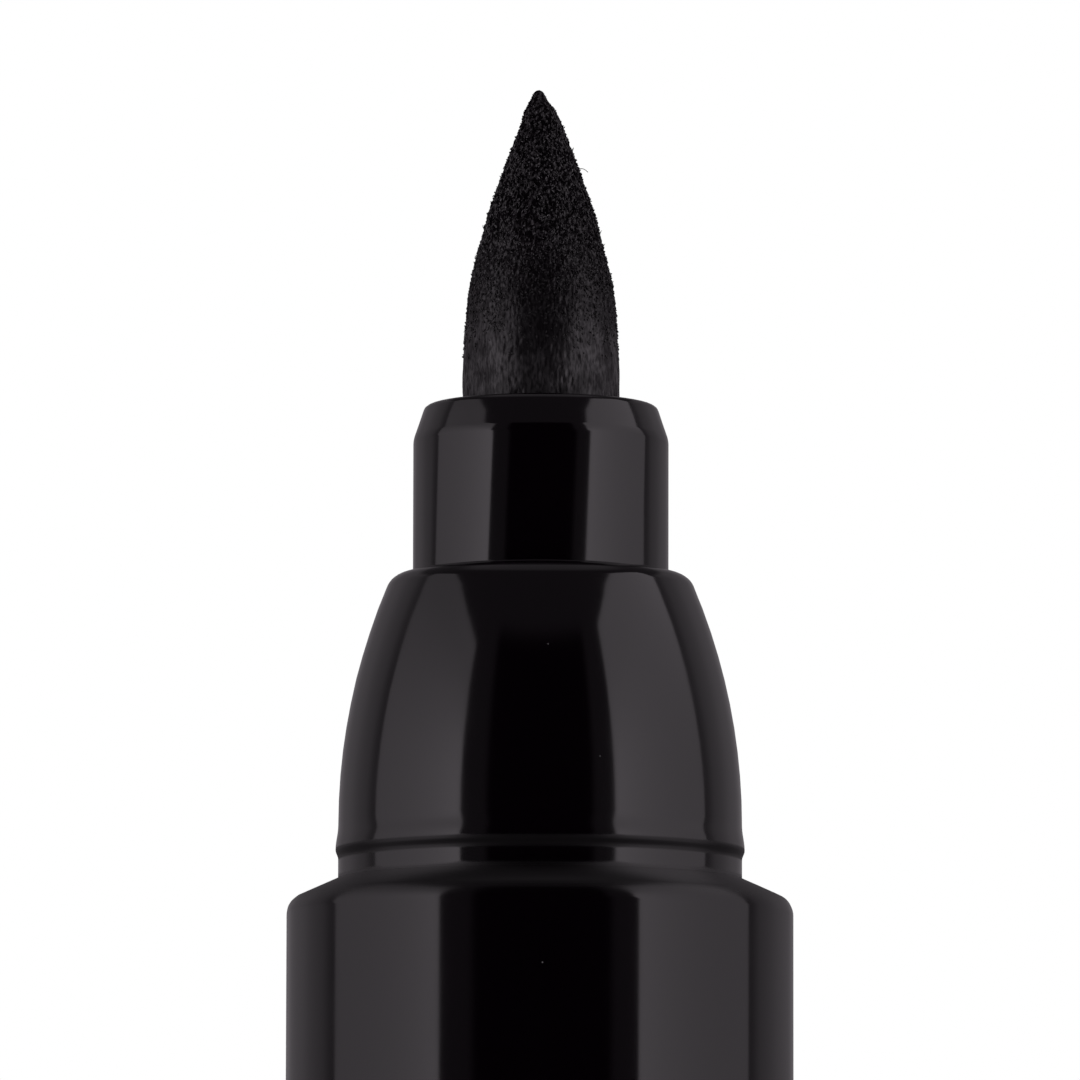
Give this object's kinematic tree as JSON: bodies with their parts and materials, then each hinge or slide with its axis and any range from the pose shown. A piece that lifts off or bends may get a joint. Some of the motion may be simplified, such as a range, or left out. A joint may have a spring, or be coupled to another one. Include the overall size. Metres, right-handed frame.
{
  "type": "liquid eyeliner pen",
  "caption": "Black liquid eyeliner pen with a felt bullet nib, collared curved nose, plain round barrel and a sprung inner cap inside the posted cap.",
  "frame": {"origin": "middle of the cap's closed end, which the pen stands on", "axes": "+Z along the pen's axis towards the nib"},
  "size_m": [0.0116, 0.0116, 0.1482],
  "materials": {
    "felt": "ink-soaked felt with fine fibre ends",
    "nose_plastic": "moulded gloss black",
    "fibre": "bonded fibre rod",
    "collector_plastic": "natural moulded plastic",
    "tank_plastic": "natural moulded plastic",
    "ball_steel": "polished steel",
    "barrel_plastic": "moulded gloss black",
    "cap_plastic": "moulded gloss black",
    "inner_cap_plastic": "natural moulded plastic",
    "spring_steel": "bright spring wire"
  },
  "bodies": {
    "pen": {"nib": "felt", "nib_holder": "nose_plastic", "nose_cone": "nose_plastic", "feed_core": "fibre", "ink_collector": "collector_plastic", "ink_tank": "tank_plastic", "barrel": "barrel_plastic", "tail_plug": "nose_plastic"},
    "ball_1": {"mixing_ball_1": "ball_steel"},
    "ball_2": {"mixing_ball_2": "ball_steel"},
    "cap": {"cap_shell": "cap_plastic", "guide_sleeve": "inner_cap_plastic", "inner_cap_spring": "spring_steel"},
    "inner_cap": {"inner_cap": "inner_cap_plastic"}
  },
  "joints": [
    {"name": "cap_pull", "type": "slide", "parent": "pen", "child": "cap", "axis": [0, 0, -1], "range_m": [0, 0.012]},
    {"name": "inner_cap_slide", "type": "slide", "parent": "cap", "child": "inner_cap", "axis": [0, 0, -1], "range_m": [0, 0.002], "stiffness_N_per_m": 80, "springref_m": -0.0005, "deforming": ["inner_cap_spring"]},
    {"name": "ball_1_slide", "type": "slide", "parent": "pen", "child": "ball_1", "axis": [0, 0, 1], "range_m": [0, 0.053]},
    {"name": "ball_2_slide", "type": "slide", "parent": "pen", "child": "ball_2", "axis": [0, 0, 1], "range_m": [0, 0.053]}
  ]
}
